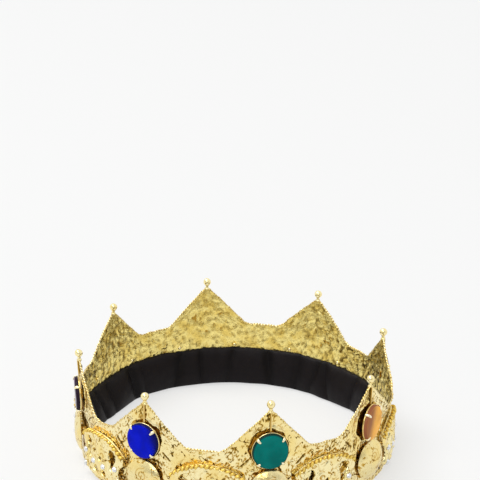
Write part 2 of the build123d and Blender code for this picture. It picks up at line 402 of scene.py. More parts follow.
def glass_finish(name, body, shade=None, glow=0.2):
    """Deep coloured glass, a little cloudy, with painted shade on its edge and on one side, and a painted
    glow in place of light from within.
    """
    finish = Finish(made := bpy.data.materials.new(name))
    cloud = finish.grain(120, 2.0, 0.5).step(0.3, 0.75)
    edge = finish.attribute("hollow")
    dim = tuple(0.72 * part for part in body)
    tint = finish.blend(cloud, body, dim)
    # Painted shade on the gem's edge and on its side toward the crown's front
    tint = finish.blend(edge.step(0.0, 1.0), tint, shade or tuple(0.13 * part + 0.004 for part in body))
    finish.surface({
        "Base Color": tint, "Roughness": 0.05 + 0.05 * cloud, "IOR": 1.45, "Transmission Weight": 0.08,
        # Painted glow: the glass gives out its own tint as light
        "Specular IOR Level": 0.04, "Emission Color": tint, "Emission Strength": glow,
    })
    return made


def stone_finish(name, body):
    """Clear cut stone over a silvered back."""
    finish = Finish(made := bpy.data.materials.new(name))
    flash = finish.grain(1500, 1.0, 0.5).step(0.35, 0.65)
    tint = finish.blend(flash, body, tuple(0.9 * part for part in body))
    finish.surface({
        "Base Color": tint, "Metallic": 0.7, "Roughness": 0.04 + 0.06 * flash, "Coat Weight": 1.0,
        "Coat Roughness": 0.02,
    })
    return made


def satin_finish(name, body):
    """Black satin: a fine slanted weave, with painted shade along the folds that leaves their tops lighter.
    """
    finish = Finish(made := bpy.data.materials.new(name))
    place = finish.place()
    weave = finish.node("ShaderNodeTexWave", {"wave_type": "BANDS", "bands_direction": "DIAGONAL"},
                        {"Vector": place, "Scale": 700.0, "Distortion": 0.6, "Detail": 1.0})
    slub = finish.grain(240, 3.0, 0.6)
    fold = finish.attribute("hollow")
    lift = tuple(3.2 * part + 0.003 for part in body)
    # Painted shade along the folds pulls the colour back to the plain black
    tint = finish.blend((slub * 0.6 + 0.35 * weave - 1.5 * fold).clamp(), body, lift)
    finish.surface({
        "Base Color": tint, "Roughness": (0.42 + 0.15 * slub).clamp(), "Specular IOR Level": 0.155,
        "Normal": finish.bump(weave + slub, 0.12, 0.2 * MM),
    })
    return made


# Mesh making


class Patchwork:
    """Patches of points and faces that become one mesh."""

    def __init__(self):
        self.points = []
        self.faces = []
        self.finishes = []
        self.hollows = []
        self.count = 0

    def add(self, points, faces, finish=0, hollow=0.0):
        """Adds a patch in one of the piece's finishes, and how much painted shade it gets, at each point or
        all over.
        """
        points = np.asarray(points, float).reshape(-1, 3)
        self.points.append(points)
        self.faces += [tuple(corner + self.count for corner in face) for face in faces]
        self.finishes += [finish] * len(faces)
        self.hollows.append(np.broadcast_to(np.ravel(hollow), len(points)))
        self.count += len(points)

    def piece(self, name, materials, slot, replaces=(), flat=False, place=None):
        """The mesh as a piece that rides on the crown, in place of the nodes that it replaces."""
        points = np.concatenate(self.points)
        if place is not None:
            points = place(points)
        mesh = bpy.data.meshes.new(name)
        mesh.from_pydata(hand_bent(points).tolist(), [], self.faces)
        # Each point's painted shade goes to the mesh, where the finishes darken the colour by it
        hollow = mesh.attributes.new("hollow", "FLOAT", "POINT")
        hollow.data.foreach_set("value", np.concatenate(self.hollows).astype(np.float32))
        for material in materials:
            mesh.materials.append(material)
        mesh.polygons.foreach_set("material_index", self.finishes)
        mesh.polygons.foreach_set("use_smooth", [not flat] * len(self.faces))
        mesh.validate()
        made = bpy.data.objects.new(name, mesh)
        bpy.context.scene.collection.objects.link(made)
        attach(made, "root")
        if replaces:
            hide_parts(*replaces)
        return made


def net(rows, columns, closed=False, looped=False):
    """Faces of a net of points, row by row; closed joins its last column to its first, looped its rows."""
    faces = []
    for row in range(rows if looped else rows - 1):
        here, below = row * columns, (row + 1) % rows * columns
        for column in range(columns if closed else columns - 1):
            after = (column + 1) % columns
            faces.append((here + column, here + after, below + after, below + column))
    return faces


def flipped(faces):
    """Faces that look the other way."""
    return [face[::-1] for face in faces]


def circle(count):
    """Even turns round a circle, in radians."""
    return np.arange(count) * 2 * math.pi / count


def hump(values, centre, width):
    """1 at a centre, falling smoothly to 0 at either side."""
    return np.exp(-((values - centre) / width) ** 2)


def waves(points, scale, shift=0.0):
    """Smooth noise from -1 to 1 at points, its scale in features a metre; each use has its own shift."""
    values = [noise.noise(Vector((x * scale + shift, y * scale - shift, z * scale + 2 * shift)))
              for x, y, z in points.reshape(-1, 3)]
    return np.array(values).reshape(points.shape[:-1])


def creases(points, scale, width, shift):
    """Short winding creases, from 0 on the plain metal to 1 along a crease's bottom."""
    line = np.abs(waves(points, scale, shift))
    gate = waves(points, scale * 0.8, shift + 7.3)
    return np.clip(1 - line / width, 0, 1) ** 1.2 * np.clip((gate - 0.10) / 0.16, 0, 1)


def turned(profile, sides):
    """A round form about the out axis, through pairs of radius and height."""
    turns = circle(sides)
    rings = [np.stack([r * np.cos(turns), r * np.sin(turns), np.full(sides, h)], -1) for r, h in profile]
    return np.concatenate(rings), net(len(profile), sides, closed=True)


def rotated(points, degrees):
    """Points turned about the last of their three axes."""
    c, s = math.cos(math.radians(degrees)), math.sin(math.radians(degrees))
    return points @ np.array([[c, s, 0], [-s, c, 0], [0, 0, 1]])


def around(turn, up, radius, degrees=0.0):
    """Points at turns in radians from the front, heights and radii, all moved on by some degrees."""
    turn = turn + math.radians(degrees)
    return np.stack([radius * np.sin(turn), -radius * np.cos(turn), up + 0 * turn], -1)


def on_ring(radius, height, degrees, twist=0.0):
    """Carries points across, up and out to a flat place on the ring, twisted about its upright."""
    def place(points):
        facing = rotated(np.stack([points[:, 0], -points[:, 2], points[:, 1]], -1), twist)
        return rotated(facing + np.array([0, -radius, height]), degrees)
    return place


def after_peak(index):
    """Carries points given as turn, height and radius to the place of the ornament after a peak."""
    def place(points):
        return around(*points.T, (index + 0.5) * PEAK_STEP + ORNAMENT_SHIFT[index])
    return place


def hand_bent(points):
    """Points of the crown as it was bent by hand: flatter at each gem, its peaks and valleys uneven."""
    x, y, z = points.T
    turn = np.arctan2(x, -y)
    radius = np.hypot(x, y)
    level = z / MM
    step = math.radians(PEAK_STEP)
    peak = np.round(turn / step)
    lobe = np.cos((turn - peak * step) / step * math.pi) ** 2
    which = peak.astype(int) % PEAKS
    valley = np.floor(turn / step).astype(int) % PEAKS
    tip = np.clip((level - TIP_START) / TIP_RUN, 0, 1.2) * lobe * MM
    flat = lobe * hump(level, *FLATTENED_AT) * MM
    foot = lobe * hump(level, *FOOT_AT) * MM
    rim = (1 - lobe) * hump(level, *RIM_AT) * MM
    radius = radius - flat * np.array(FLATTENED)[which] + tip * np.array(TIP_OUT)[which]
    radius = radius - foot * np.array(FOOT_IN)[which] + rim * np.array(RIM_OUT)[valley]
    settled = lobe * np.clip(level / SETTLED_RUN, 0, 1) * MM * np.array(SETTLED)[which]
    dip = hump(np.degrees(turn), DIP_TURN, DIP_WIDTH)
    settled = settled + dip * np.clip((level - DIP_START) / DIP_RUN, 0, 1) * MM * DIP_DEPTH
    turn = turn + lobe * MM * np.array(ASIDE)[which] / radius
    return around(turn, z + tip * np.array(TIP_UP)[which] - settled, radius)


def cord(path, radius, sides, closed=False, lobes=0, pitch=1.0, swell=0.2, uneven_by=0.0):
    """Points, faces and painted shade of a tube along a path; with lobes it is twisted like a cord, with
    painted shade between the lobes.
    """
    ahead = np.roll(path, -1, 0) - np.roll(path, 1, 0)
    if not closed:
        ahead[0], ahead[-1] = path[1] - path[0], path[-1] - path[-2]
    ahead /= np.linalg.norm(ahead, axis=1, keepdims=True)
    guide = path * np.array([1.0, 1.0, 0.0])
    guide /= np.linalg.norm(guide, axis=1, keepdims=True)
    side = np.cross(ahead, guide)
    side /= np.linalg.norm(side, axis=1, keepdims=True)
    lift = np.cross(side, ahead)
    steps = np.linalg.norm(np.diff(path, axis=0, append=path[:1]), axis=1)
    along = np.concatenate([[0], np.cumsum(steps)])[:-1]
    if closed:
        along = along / steps.sum() * round(steps.sum() / pitch) * pitch
    turns = circle(sides)
    rings, hollow = [], []
    for k in range(len(path)):
        wave = np.cos(2 * math.pi * along[k] / pitch + lobes * turns) if lobes else 0 * turns
        uneven = uneven_by * noise.noise(Vector((along[k] / pitch, 0.37, radius / MM)))
        r = radius * (1 + swell * wave + uneven)
        rings.append(path[k] + np.outer(r * np.cos(turns), lift[k]) + np.outer(r * np.sin(turns), side[k]))
        # Painted shade between the lobes
        hollow.append(np.clip(-wave, 0, 1) ** 2)
    faces = net(len(path), sides, closed=True, looped=closed)
    return np.concatenate(rings), faces, np.concatenate(hollow)


def from_side(x, y, start, end):
    """Distance from the straight line between two places."""
    (ax, ay), (bx, by) = start, end
    dx, dy = bx - ax, by - ay
    t = np.clip(((x - ax) * dx + (y - ay) * dy) / (dx * dx + dy * dy + TINY), 0, 1)
    return np.hypot(x - ax - t * dx, y - ay - t * dy)


def from_line(x, y, line):
    """Distance from a line through places."""
    return np.minimum.reduce([from_side(x, y, start, end) for start, end in zip(line, line[1:])])


def inside_by(x, y, outline):
    """Distance in from an outline's edge, negative outside."""
    best = from_line(x, y, [*outline, outline[0]])
    odd = np.zeros(x.shape, bool)
    for (ax, ay), (bx, by) in zip(outline, np.roll(outline, -1, 0)):
        crosses = (ay > y) != (by > y)
        odd ^= crosses & (x < ax + (y - ay) / (by - ay + TINY) * (bx - ax))
    return np.where(odd, best, -best)


# The band


def rounded_corner(corner, before, after, radius, steps=12):
    """Points round a corner between two directions."""
    turn = math.acos(max(-1, min(1, before.dot(after))))
    cut = radius * math.tan(turn / 2)
    side = Vector((-before.y, before.x))
    centre = corner - before * cut + side * radius
    points = []
    for k in range(steps + 1):
        a = turn * k / steps
        points.append(centre - side * radius * math.cos(a) + before * radius * math.sin(a))
    return points


def rim_profile(sizes):
    """Distance across from a valley's middle, and the rim's height there, as two rising lists."""
    half = sizes.band_radius * math.sin(math.radians(PEAK_STEP / 2))
    apex = sizes.apex_height + sizes.tip_rise
    floor = Vector((sizes.valley_width / 2, sizes.valley_height))
    foot = Vector((half - sizes.tip_width / 2, apex - sizes.tip_height))
    level, slope, upright = Vector((1, 0)), (foot - floor).normalized(), Vector((0, 1))
    points = [Vector((0, sizes.valley_height))]
    points += rounded_corner(floor, level, slope, sizes.valley_round)
    points += rounded_corner(foot, slope, upright, sizes.tip_round)
    return [p.x for p in points], [min(p.y, apex) for p in points]


def rim_height(sizes, turns):
    """The rim's height at turns in radians from the front."""
    across, heights = rim_profile(sizes)
    step = math.radians(PEAK_STEP)
    inside = np.mod(turns, step) - step / 2
    x = np.abs(sizes.band_radius * np.sin(inside))
    spots = around(turns, 0.0, sizes.band_radius)
    return np.interp(x, across, heights) + 0.3 * MM * waves(spots, 260, 70.0)


def grooves(sizes, turns, heights):
    """The two short slanting grooves beside each gem, mirrored on every second peak."""
    step = math.radians(PEAK_STEP)
    peak = np.round(turns / step)
    across = (turns - peak * step) * sizes.band_radius * np.where(peak % 2 == 0, 1, -1) / MM
    depth = np.zeros_like(turns)
    for start, end in GROOVES:
        apart = from_side(across, heights / MM, start, end)
        depth = np.maximum(depth, np.clip(1 - apart / GROOVE_HALF_WIDTH, 0, 1) ** 0.7)
    return depth


def surrounds(sizes, turns, heights, ragged):
    """How far each place is sunk behind a gem, and how near it is to the raised lip round that; the sunk
    patch sits off the gem's centre, up and to one side, so that the painted shade laid in it falls like a
    shadow.
    """
    step = math.radians(PEAK_STEP)
    peak = np.round(turns / step)
    across = (turns - peak * step) * sizes.band_radius + (0.6 + 0.9 * np.sin(peak * step)) * MM
    apart = (np.hypot(across, heights - sizes.gem_height - MM) - sizes.gem_radius) / MM - 0.5 + 1.3 * ragged
    sunk = np.clip(0.5 - apart / 0.7, 0, 1)
    return sunk, hump(apart, 0.9, 0.6) * (1 - sunk)


def outer_face(sizes, turns, rows=96):
    """The creased outer face over a run of turns, with its edges rolled in."""
    columns = len(turns)
    inner = sizes.band_radius - sizes.band_wall
    grid, share = np.meshgrid(turns, np.linspace(0, 1, rows))
    heights = share * rim_height(sizes, turns)
    smooth = around(grid, heights, sizes.band_radius)
    sunk, lip = surrounds(sizes, grid, heights, waves(smooth, 190, 14.0))
    crease = np.maximum.reduce([depth * creases(smooth, *layer) for depth, *layer in OUTER_CREASES])
    crease *= np.clip(0.7 + 1.2 * waves(smooth, 42, 12.0), 0.2, 0.9)
    crease = np.maximum(crease * (1 - sunk), 1.2 * grooves(sizes, grid, heights))
    lumps = 0.24 * MM * waves(smooth, 110, 1.7) + 0.20 * MM * waves(smooth, 420, 5.2)
    valleys = 0.45 * MM * np.abs(waves(smooth, 210, 21.0)) + 0.2 * MM * np.abs(waves(smooth, 480, 25.0))
    relief = (lumps - valleys) * (1 - sunk) - sizes.crease_depth * crease + MM * (0.5 * lip - 0.6 * sunk)
    outer = around(grid, heights, sizes.band_radius + relief)
    made = Patchwork()
    # Painted shade in the creases and grooves, and in the recess behind each gem
    made.add(outer, net(rows, columns), 0, np.clip(np.maximum(1.3 * crease, 0.55 * sunk), 0, 1))
    faces = net(3, columns)
    for edge, sign in ((0, 1), (rows - 1, -1)):
        rolled = [outer[edge], around(turns, heights[edge], inner + 0.4 * sizes.band_wall),
                  around(turns, heights[edge] + sign * 0.3 * MM, inner)]
        made.add(np.concatenate(rolled), flipped(faces) if sign > 0 else faces)
    return made


def inner_face(sizes, columns=760, rows=52):
    """The grainy lining: lumps, specks and raised dots all round, with painted shade in the specks and in
    dark blots at the crown's sides.
    """
    inner = sizes.band_radius - sizes.band_wall
    turns = circle(columns)
    top, foot = rim_height(sizes, turns) - 0.1 * MM, 14 * MM
    grid, share = np.meshgrid(turns, np.linspace(0, 1, rows))
    heights = foot + share * (top - foot)
    smooth = around(grid, heights, inner)
    side = np.sin(grid) ** 2
    squashed = 1.1 * smooth
    squashed[..., 2] *= 0.75 + 0.6 * side
    specks = np.clip((waves(squashed, 400, 23.0) - 0.20) / 0.12, 0, 1)
    # The blots are painted shade, laid only toward the crown's left and right sides
    blots = np.clip((waves(squashed, 290, 27.0) - 0.27) / 0.08, 0, 1) * side
    crease = np.maximum(np.maximum(specks, blots), 0.6 * creases(squashed, 560, 0.34, 17.0))
    dots = np.clip((waves(smooth, 260, 31.0) - 0.44) / 0.12, 0, 1)
    lumps = 0.32 * MM * waves(squashed, 250, 2.0) + 0.12 * MM * waves(smooth, 110, 9.0)
    relief = lumps - 0.5 * MM * crease + 0.5 * MM * dots
    made = Patchwork()
    # Painted shade in the specks and creases, heavier in the blots
    made.add(around(grid, heights, inner - 0.1 * MM - relief), flipped(net(rows, columns, closed=True)), 0,
             np.maximum(0.27 * crease, 1.1 * blots))
    return made


class CROWN_OT_band(bpy.types.Operator):
    """Make the band: creased outer face, rolled edges and grainy lining"""

    bl_idname = "crown.band"
    bl_label = "Band"

    def execute(self, context):
        sizes, finish = context.scene.crown_sizes, context.scene.crown_finish
        gilt = gilt_finish("gilt_outer", finish, scratched=1.0)
        for name, start, nodes in (("band_front", -0.5, ["crown_band"]), ("band_back", 0.5, [])):
            turns = start * math.pi + np.linspace(0, math.pi, 760)
            outer_face(sizes, turns).piece(name, [gilt], "gilt_metal", nodes)
        lining = lining_finish("gilt_lining", finish)
        inner_face(sizes).piece("band_lining", [lining], "gilt_metal")
        return {"FINISHED"}


class CROWN_OT_rim(bpy.types.Operator):
    """Make the corded edge along the band's rim"""

    bl_idname = "crown.rim"
    bl_label = "Rim cord"

    def execute(self, context):
        sizes, finish = context.scene.crown_sizes, context.scene.crown_finish
        turns = np.linspace(0, 2 * math.pi, 20000, endpoint=False)
        line = around(turns, rim_height(sizes, turns), sizes.band_radius - sizes.band_wall / 2)
        steps = np.linalg.norm(np.diff(line, axis=0, append=line[:1]), axis=1)
        along = np.concatenate([[0], np.cumsum(steps)])
        spots = np.arange(0, along[-1], 0.32 * MM)
        path = np.stack([np.interp(spots, along[:-1], line[:, axis]) for axis in range(3)], -1)
        points, faces, hollow = cord(path, sizes.rim_radius, 8, closed=True, lobes=1, pitch=1.9 * MM,
                                     swell=0.3, uneven_by=0.7)
        rim = Patchwork()
        # Painted shade between the cord's lobes
        rim.add(points, faces, 0, 0.9 * hollow)
        gilt = gilt_finish("gilt_rim", finish, rough=0.14, relief=0.1)
        rim.piece("rim_cord", [gilt], "gilt_metal")
        return {"FINISHED"}


# Pieces on the peaks


class CROWN_OT_finials(bpy.types.Operator):
    """Make the ball finials and the rods below them"""

    bl_idname = "crown.finials"
    bl_label = "Finials"

    def execute(self, context):
        sizes, finish = context.scene.crown_sizes, context.scene.crown_finish
        gilt = gilt_finish("gilt_bright", finish, rough=0.08, relief=0.04, patch=250)
        low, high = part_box("finial_1")
        r, apex, foot = sizes.ball_radius, sizes.apex_height, low.z
        centre = max(high.z - r, apex + 2.1 * MM + r)
        profile = [(width * MM, apex + up * MM) for width, up in COLLAR]
        for k in range(3, 25):
            a = math.pi * k / 24
            profile.append((r * math.sin(a), centre - r * math.cos(a)))
        bead, bead_faces = turned(profile, 28)
        bead = bead - np.array([0, sizes.band_radius - sizes.band_wall / 2, 0])
        half, sunk = sizes.rod_width / 2, 0.4 * MM
        levels = np.linspace(foot, apex + 0.5 * MM, 24)
        rod = []
        for level in levels:
            narrow = 1 - 0.25 * (level - foot) / (levels[-1] - foot)
            for across, out, _ in ROD_SECTION:
                reach = sizes.band_radius - sunk + out * (sizes.rod_depth + sunk)
                rod.append((across * half * narrow, -reach, level))
        rod_faces = net(len(levels), len(ROD_SECTION))
        rod_painted_shade = np.tile([hollow for _, _, hollow in ROD_SECTION], len(levels))
        for index in range(PEAKS):
            made = Patchwork()
            made.add(rotated(bead, index * PEAK_STEP), bead_faces)
            made.add(rotated(np.array(rod), index * PEAK_STEP), rod_faces, 0, rod_painted_shade)
            made.piece(f"ball_finial_{index + 1}", [gilt], "gilt_metal", [f"finial_{index + 1}"])
        return {"FINISHED"}


def gem_place(sizes, index):
    """Carries points to the flat place behind a gem."""
    return on_ring(back_face("gem_1"), sizes.gem_height, index * PEAK_STEP, GEM_TWIST[index])


class CROWN_OT_gems(bpy.types.Operator):
    """Make the domed glass gems"""

    bl_idname = "crown.gems"
    bl_label = "Gems"

    def execute(self, context):
        sizes, finish = context.scene.crown_sizes, context.scene.crown_finish
        glass = {name: glass_finish(f"glass_{name}", getattr(finish, f"gem_{name}"))
                 for name in ("green", "purple", "blue")}
        # The amber glass has its own painted shade colour and a stronger painted glow
        glass["amber"] = glass_finish("glass_amber", finish.gem_amber, finish.gem_amber_shade, 0.5)
        r, girdle = sizes.gem_radius, sizes.gem_girdle
        rise = breadth("gem_1", 1) - girdle
        profile = [(0, 0), (0.5 * r, 0), (0.97 * r, 0), (r, 0.25 * MM), (r, 0.5 * girdle),
                   (0.99 * r, 0.85 * girdle), (0.975 * r, girdle)]
        steps = 22
        for k in range(1, steps + 1):
            a = 0.5 * math.pi * k / steps
            width = 0.965 * r * math.cos(a) ** 0.7 if k < steps else 0
            profile.append((width, girdle + rise * math.sin(a) ** 0.8))
        points, faces = turned(profile, 72)
        spread = np.hypot(points[:, 0], points[:, 1]) / r
        # Painted shade on the gem's straight side and on the outer edge of its dome
        rim = np.where(points[:, 2] <= girdle, 1.0, np.clip((spread - 0.9) / 0.1, 0, 1))
        for index in range(PEAKS):
            name = GEM_COLOURS[index % len(GEM_COLOURS)]
            # Painted shade on each gem's side toward the crown's front and toward its top, spread wider on
            # the amber gems
            aside = math.sin(math.radians(index * PEAK_STEP))
            shaded = -points[:, 0] / r * aside + 0.25 * points[:, 1] / r
            starts, reach = (-0.2, 0.8) if name == "amber" else (0.28, 0.5)
            made = Patchwork()
            made.add(points, faces, 0, np.maximum(rim, np.clip((shaded - starts) / reach, 0, 0.8)))
            made.piece(f"glass_gem_{index + 1}", [glass[name]], f"gem_{name}", [f"gem_{index + 1}"],
                       place=gem_place(sizes, index))
        return {"FINISHED"}


def ring_wire(path, radius, sides=8):
    """A round wire along a closed flat path about the out axis."""
    away = path * np.array([1.0, 1.0, 0.0])
    away /= np.linalg.norm(away, axis=1, keepdims=True)
    out = np.array([0, 0, 1.0])
    points = [path + radius * (math.cos(t) * away + math.sin(t) * out) for t in circle(sides)]
    return np.concatenate(points), net(sides, len(path), closed=True, looped=True)


def claw_mesh(line, half_width, degrees, sides=10):
    """A rounded bar along a line of radius and height, narrowing to a round tip."""
    count = len(line)
    points = []
    for k, (r, h) in enumerate(line):
        ahead = line[min(k + 1, count - 1)] - line[max(k - 1, 0)]
        ahead = ahead / np.linalg.norm(ahead)
        normal = np.array([ahead[1], -ahead[0]])
        taper = 1 - 0.45 * (k / (count - 1)) ** 3
        thick = 0.42 * MM * (1 if k < count - 1 else 0.6)
        for a in circle(sides):
            out = normal * thick * math.sin(a)
            points.append((r + out[0], half_width * taper * math.cos(a), h + out[1]))
    tip = np.mean(points[-sides:], 0) + 0.35 * MM * np.array([ahead[0], 0, ahead[1]])
    last = (count - 1) * sides
    faces = net(count, sides, closed=True)
    faces += [(last + k, last + (k + 1) % sides, count * sides) for k in range(sides)]
    return rotated(np.array([*points, tip]), degrees), flipped(faces)


class CROWN_OT_settings(bpy.types.Operator):
    """Make the trays, rim wires, claws and posts that hold the gems"""

    bl_idname = "crown.settings"
    bl_label = "Gem settings"

    def execute(self, context):
        sizes, finish = context.scene.crown_sizes, context.scene.crown_finish
        gilt = gilt_finish("gilt_setting", finish, rough=0.12, relief=0.08)
        bright = gilt_finish("gilt_claw", finish, finish.claw, finish.gilt, rough=0.12, relief=0.04)
        r, tray = sizes.gem_radius, 0.7 * MM
        edge = r + 0.3 * MM
        back = back_face("gem_1") - sizes.band_radius
        profile = [(0, -tray), (0.6 * edge, -tray), (edge - 0.3 * MM, -tray), (edge, -0.6 * tray),
                   (edge, -0.3 * tray), (edge - 0.2 * MM, 0), (0.6 * r, -0.02 * MM), (0, -0.02 * MM)]
        dish, dish_faces = turned(profile, 64)
        stem, stem_faces = turned([(3.4 * MM, -back - 0.9 * MM), (3.0 * MM, -back), (3.2 * MM, -tray)], 32)
        turns = circle(96)
        loop = np.stack([np.cos(turns) * (r + 0.15 * MM), np.sin(turns) * (r + 0.15 * MM),
                         np.full(len(turns), 0.1 * MM)], -1)
        claw_line = np.array([(r + out * MM, up * MM) for out, up in CLAW_LINE])
        made = Patchwork()
        # Painted shade on the tray's face under the gem
        made.add(dish, dish_faces, 0, np.where(np.hypot(dish[:, 0], dish[:, 1]) < 0.9 * edge, 0.9, 0.0))
        # Painted shade on the post behind the setting
        made.add(stem, stem_faces, 0, 0.5)
        made.add(*ring_wire(loop, 0.2 * MM))
        for claw in range(4):
            made.add(*claw_mesh(claw_line, sizes.claw_width / 2, 45 + 90 * claw), 1)
        for index in range(PEAKS):
            made.piece(f"claw_setting_{index + 1}", [gilt, bright], "gilt_metal",
                       [f"gem_setting_{index + 1}"], place=gem_place(sizes, index))
        return {"FINISHED"}


def scroll_mark(x, y, start, radius, hand, steps=80):
    """A groove that winds in to a round end, 1 along its bottom."""
    cx, cy = 0.28 * radius * math.cos(start), 0.28 * radius * math.sin(start)
    best = np.full(x.shape, 1.0)
    for k in range(steps):
        t = k / (steps - 1)
        a = start + hand * 11.5 * t
        reach = radius * (0.36 - 0.33 * t)
        best = np.minimum(best, np.hypot(x - cx - reach * math.cos(a), y - cy - reach * math.sin(a)))
    return np.clip(1 - best / (0.7 * MM), 0, 1)


class CROWN_OT_medallions(bpy.types.Operator):
    """Make the domed medallions with their scroll marks"""

    bl_idname = "crown.medallions"
    bl_label = "Medallions"

    def execute(self, context):
        sizes, finish = context.scene.crown_sizes, context.scene.crown_finish
        gilt = gilt_finish("gilt_medallion", finish, finish.medallion, rough=0.26, grain=420, relief=0.6,
                           scratched=0.55)
        r, gap = sizes.medallion_radius, sizes.medallion_standoff
        rise = front_face("medallion_1") - sizes.band_radius - gap
        rings, sides = 40, 132
        turns, share = np.meshgrid(circle(sides), np.linspace(0, 1, rings))
        x, y = r * share * np.cos(turns), r * share * np.sin(turns)
        dome = rise * (1 - share ** 2.6) ** 0.8
        fade = np.clip((1 - share) / 0.1, 0, 1)
        profile = [(r, 0), (0.985 * r, -0.35 * MM), (0.8 * r, -0.1 * MM), (3.4 * MM, 0.2 * MM),
                   (3.4 * MM, -gap - 0.3 * MM)]
        under, under_faces = turned(profile, sides)
        dome_faces = flipped(net(rings, sides, closed=True))
        for index in range(PEAKS):
            draw = random.Random(100 + index)
            spots = np.stack([x, y, np.full(x.shape, 0.3 * index)], -1)
            hammer = 0.10 * waves(spots, 210, index) + 0.05 * waves(spots, 600, index + 4.0)
            marks = 0.5 * creases(spots, 330, 0.16, 20.0 + index)
            marks = np.maximum(marks, scroll_mark(x, y, draw.uniform(1.1, 2.0), r, draw.choice((-1, 1))))
            height = dome + fade * MM * (2.6 * hammer - 0.3 * marks)
            made = Patchwork()
            # Painted shade in the scroll marks and creases
            made.add(np.stack([x, y, height], -1), dome_faces, 0, 0.45 * fade * marks)
            # Painted shade on the medallion's underside
            made.add(under, flipped(under_faces), 0, 0.3)
            made.piece(f"medallion_dome_{index + 1}", [gilt], "gilt_metal", [f"medallion_{index + 1}"],
                       place=on_ring(sizes.band_radius + gap, sizes.medallion_height, index * PEAK_STEP,
                                     MEDALLION_TWIST[index]))
        return {"FINISHED"}


# Pieces between the peaks


def smoothed(points, rounds=3):
    """A closed outline with its corners cut round."""
    points = np.asarray(points, float)
    for _ in range(rounds):
        after = np.roll(points, -1, 0)
        points = np.stack([0.75 * points + 0.25 * after, 0.25 * points + 0.75 * after], 1).reshape(-1, 2)
    return points


def curl(cx, cy, start, sweep, radius, end_radius, steps=36):
    """Points along a curl that winds in about a centre."""
    points = []
    for k in range(steps):
        t = k / (steps - 1)
        a = math.radians(start + sweep * t)
        r = radius + (end_radius - radius) * t
        points.append((cx + r * math.cos(a), cy + r * math.sin(a)))
    return points


def recess_shade(height, depth, reach):
    """How much painted shade each place of a net of heights gets for lying below its surroundings, from 0 to
    1.
    """
    soft = height
    for axis in (0, 1):
        soft = sum(np.roll(soft, k, axis) for k in range(-reach, reach + 1)) / (2 * reach + 1)
    return np.clip((soft - height) / depth, 0, 1)


def ornament_place(sizes, share, side=1):
    """A place on an ornament's face from its shares across and up."""
    span = sizes.ornament_top - sizes.ornament_base
    return side * share[0] * sizes.ornament_half_width, sizes.ornament_base + share[1] * span


def on_plate(sizes, points, share, side, radius):
    """Points about a place on an ornament's face, as turn, height and radius."""
    across, up = ornament_place(sizes, share, side)
    return np.stack([(across + points[:, 0]) / radius, up + points[:, 1], radius + points[:, 2]], -1)


def ornament_outline(sizes):
    """The plate's outline, the arch's middle line, and the openings' outlines."""
    half, drop = sizes.ornament_half_width, sizes.arch_drop
    radius = (half ** 2 + drop ** 2) / (2 * drop)
    centre = sizes.ornament_top - radius
    widest = math.asin(half / radius)
    arch = [(radius * math.sin(a), centre + radius * math.cos(a)) for a in np.linspace(widest, -widest, 41)]
    middle_radius = radius - 0.5 * MM
    middle_line = [(middle_radius * math.sin(a), centre + middle_radius * math.cos(a))
                   for a in np.linspace(-0.985 * widest, 0.985 * widest, 121)]
    left = [ornament_place(sizes, share, -1) for share in PLATE_SIDE]
    right = [ornament_place(sizes, share) for share in reversed(PLATE_SIDE)]
    openings = [smoothed([ornament_place(sizes, share) for share in DIAMOND])]
    for side in (1, -1):
        for shares in (KEYHOLE, DROP_HOLE):
            openings.append(smoothed([ornament_place(sizes, share, side) for share in shares]))
    return smoothed(arch + left + right, 2), np.array(middle_line), openings


def ornament_pattern(sizes, x, y):
    """Distance in from the metal's edge, and how far the curls, cups and leaf stand above the plain face."""
    outline, _, openings = ornament_outline(sizes)
    inside = inside_by(x, y, outline)
    for opening in openings:
        inside = np.minimum(inside, -inside_by(x, y, opening))
    raised = np.zeros(x.shape)
    for side in (1, -1):
        for shape in CURLS:
            apart = from_line(x, y, [(side * px * MM, py * MM) for px, py in curl(*shape)])
            raised = np.maximum(raised, 0.62 * MM * np.sqrt(np.clip(1 - (apart / (0.85 * MM)) ** 2, 0, 1)))
        for share in STONE_PLACES:
            px, py = ornament_place(sizes, share, side)
            apart = np.hypot(x - px, y - py)
            cup = np.clip(1 - np.abs(apart - 2.2 * MM) / (0.55 * MM), 0, 1)
            raised = np.maximum(raised, 0.75 * MM * np.sqrt(cup))
            raised = np.where(apart < 1.8 * MM, 0.05 * MM, raised)
    leaf_y = (y - ornament_place(sizes, LEAF_PLACE)[1]) / (5.0 * MM)
    leaf_x = np.abs(x) / (3.0 * MM * np.clip(1 - leaf_y ** 2, 0.001, 1))
    leaf = np.where(np.abs(leaf_y) < 1, np.clip(1 - leaf_x, 0, 1), 0)
    vein = np.clip(1 - np.abs(x) / (0.45 * MM), 0, 1)
    ribs = 0.5 + 0.5 * np.cos(2 * math.pi * (np.abs(x) + 0.8 * y) / (1.7 * MM))
    raised = np.maximum(raised, MM * (0.9 * leaf ** 0.5 - 0.3 * vein * (leaf > 0) - 0.18 * ribs * (leaf > 0)))
    return inside, raised


def ornament_relief(sizes, x, y, inside, raised, index):
    """Height of one ornament's cast face above the plate's back."""
    rounding = np.clip(inside / (1.1 * MM), 0, 1)
    height = sizes.ornament_thickness * np.sqrt(np.clip(1 - (1 - rounding) ** 2, 0, 1))
    spots = np.stack([x, y, np.full(x.shape, 0.21 * index)], -1)
    wrinkle = 0.20 * waves(spots, 260, 30.0 + index) + 0.12 * waves(spots, 620, 33.0 + index)
    crease = creases(spots, 300, 0.2, 40.0 + index)
    plain = np.clip(1 - raised / (0.4 * MM), 0, 1) * rounding
    return np.maximum(height + rounding * raised + plain * MM * (wrinkle - 0.4 * crease), 0.0)


